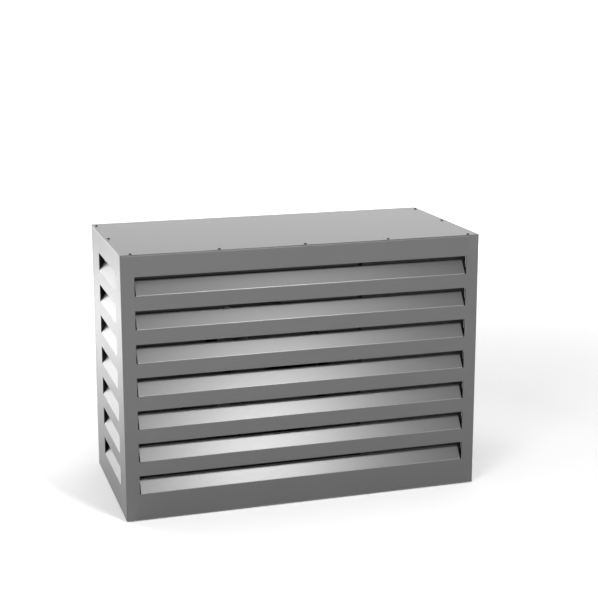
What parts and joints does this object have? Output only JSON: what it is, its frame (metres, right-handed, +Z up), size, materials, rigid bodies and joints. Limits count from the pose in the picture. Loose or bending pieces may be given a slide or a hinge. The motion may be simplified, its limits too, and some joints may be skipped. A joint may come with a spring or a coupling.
{
  "type": "pool heat pump unit",
  "caption": "Floor-standing side-blowing pool heat pump in a louvred sheet-metal casing, with fan, finned coil, compressor, water heat exchanger and rear pipe unions.",
  "frame": {"origin": "on the floor under the middle of the casing", "axes": "+Z up, +X across the unit to the right as seen from the front, and the louvred front faces -Y"},
  "size_m": [1.1, 0.52, 0.8001],
  "materials": {
    "casing": "satin grey powder coat with a faint metallic fleck",
    "screw": "darkened steel",
    "galvanised": "zinc-coated sheet, slightly mottled",
    "fins": "bare aluminium fins",
    "dark_paint": "black enamel",
    "steel": "turned steel",
    "fan_plastic": "moulded, matt",
    "brass": "machined brass",
    "copper": "drawn copper tube, slightly tarnished",
    "grey_plastic": "moulded, semi-gloss",
    "black_plastic": "moulded, lightly textured",
    "needle": "red enamel",
    "board": "coated circuit board",
    "window": "tinted clear plastic",
    "key_plastic": "soft-touch buttons",
    "rubber": "moulded rubber"
  },
  "bodies": {
    "unit": {"front_panel": "casing", "left_side_panel": "casing", "right_side_panel": "casing", "back_panel": "casing", "base_pan": "galvanised", "coil_fin_pack": "fins", "coil_header_sheet": "galvanised", "coil_end_sheet": "galvanised", "fan_shroud": "dark_paint", "motor_bracket": "galvanised", "partition_plate": "dark_paint", "fan_motor": "dark_paint", "compressor": "dark_paint", "suction_accumulator": "dark_paint", "reversing_valve": "brass", "expansion_valve": "brass", "discharge_pipe": "copper", "suction_pipe": "copper", "coil_gas_pipe": "copper", "exchanger_gas_pipe": "copper", "liquid_pipe": "copper", "heat_exchanger": "grey_plastic", "inlet_union_tail": "grey_plastic", "outlet_union_tail": "grey_plastic", "connection_bay": "casing", "cable_gland": "black_plastic", "pressure_gauge": "dark_paint", "control_box": "dark_paint", "control_board": "board", "control_box_lid": "galvanised", "keypad_housing": "black_plastic", "display_window": "window", "foot_front_left": "rubber", "foot_front_right": "rubber", "foot_back_left": "rubber", "foot_back_right": "rubber", "compressor_grommet_1": "rubber", "compressor_grommet_2": "rubber", "compressor_grommet_3": "rubber"},
    "top": {"top_panel": "casing", "top_screw_1": "screw", "top_screw_2": "screw", "top_screw_3": "screw", "top_screw_4": "screw", "top_screw_5": "screw", "top_screw_6": "screw", "top_screw_7": "screw", "top_screw_8": "screw", "top_screw_9": "screw"},
    "fan": {"fan_rotor": "fan_plastic", "motor_shaft": "steel", "fan_nut": "steel"},
    "inlet_nut": {"inlet_union_nut": "black_plastic"},
    "outlet_nut": {"outlet_union_nut": "black_plastic"},
    "power_button": {"button_power": "key_plastic"},
    "mode_button": {"button_mode": "key_plastic"},
    "down_button": {"button_down": "key_plastic"},
    "up_button": {"button_up": "key_plastic"},
    "cover": {"keypad_cover": "casing"},
    "needle": {"gauge_needle": "needle"}
  },
  "joints": [
    {"name": "top_lift_off", "type": "slide", "parent": "unit", "child": "top", "axis": [0, 0, 1], "range_m": [0, 0.06]},
    {"name": "fan_spin", "type": "hinge", "parent": "unit", "child": "fan", "pos_m": [-0.15, -0.168, 0.4], "axis": [0, 1, 0], "continuous": true},
    {"name": "inlet_nut_turn", "type": "hinge", "parent": "unit", "child": "inlet_nut", "pos_m": [0.43, 0.2145, 0.17], "axis": [0, 1, 0], "continuous": true},
    {"name": "outlet_nut_turn", "type": "hinge", "parent": "unit", "child": "outlet_nut", "pos_m": [0.43, 0.2145, 0.43], "axis": [0, 1, 0], "continuous": true},
    {"name": "power_button_press", "type": "slide", "parent": "unit", "child": "power_button", "axis": [-1, 0, 0], "range_m": [0, 0.0025], "stiffness_N_per_m": 300, "springref_m": -0.001},
    {"name": "mode_button_press", "type": "slide", "parent": "unit", "child": "mode_button", "axis": [-1, 0, 0], "range_m": [0, 0.0025], "stiffness_N_per_m": 300, "springref_m": -0.001},
    {"name": "down_button_press", "type": "slide", "parent": "unit", "child": "down_button", "axis": [-1, 0, 0], "range_m": [0, 0.0025], "stiffness_N_per_m": 300, "springref_m": -0.001},
    {"name": "up_button_press", "type": "slide", "parent": "unit", "child": "up_button", "axis": [-1, 0, 0], "range_m": [0, 0.0025], "stiffness_N_per_m": 300, "springref_m": -0.001},
    {"name": "keypad_cover_lift", "type": "hinge", "parent": "unit", "child": "cover", "pos_m": [0.546, 0.19, 0.684], "axis": [0, -1, 0], "range_deg": [0, 95]},
    {"name": "gauge_needle_sweep", "type": "hinge", "parent": "unit", "child": "needle", "pos_m": [0.29, 0.2092, 0.43], "axis": [0, -1, 0], "range_deg": [0, 270], "stiffness_Nm_per_rad": 0.0002, "springref_deg": -17.19}
  ]
}
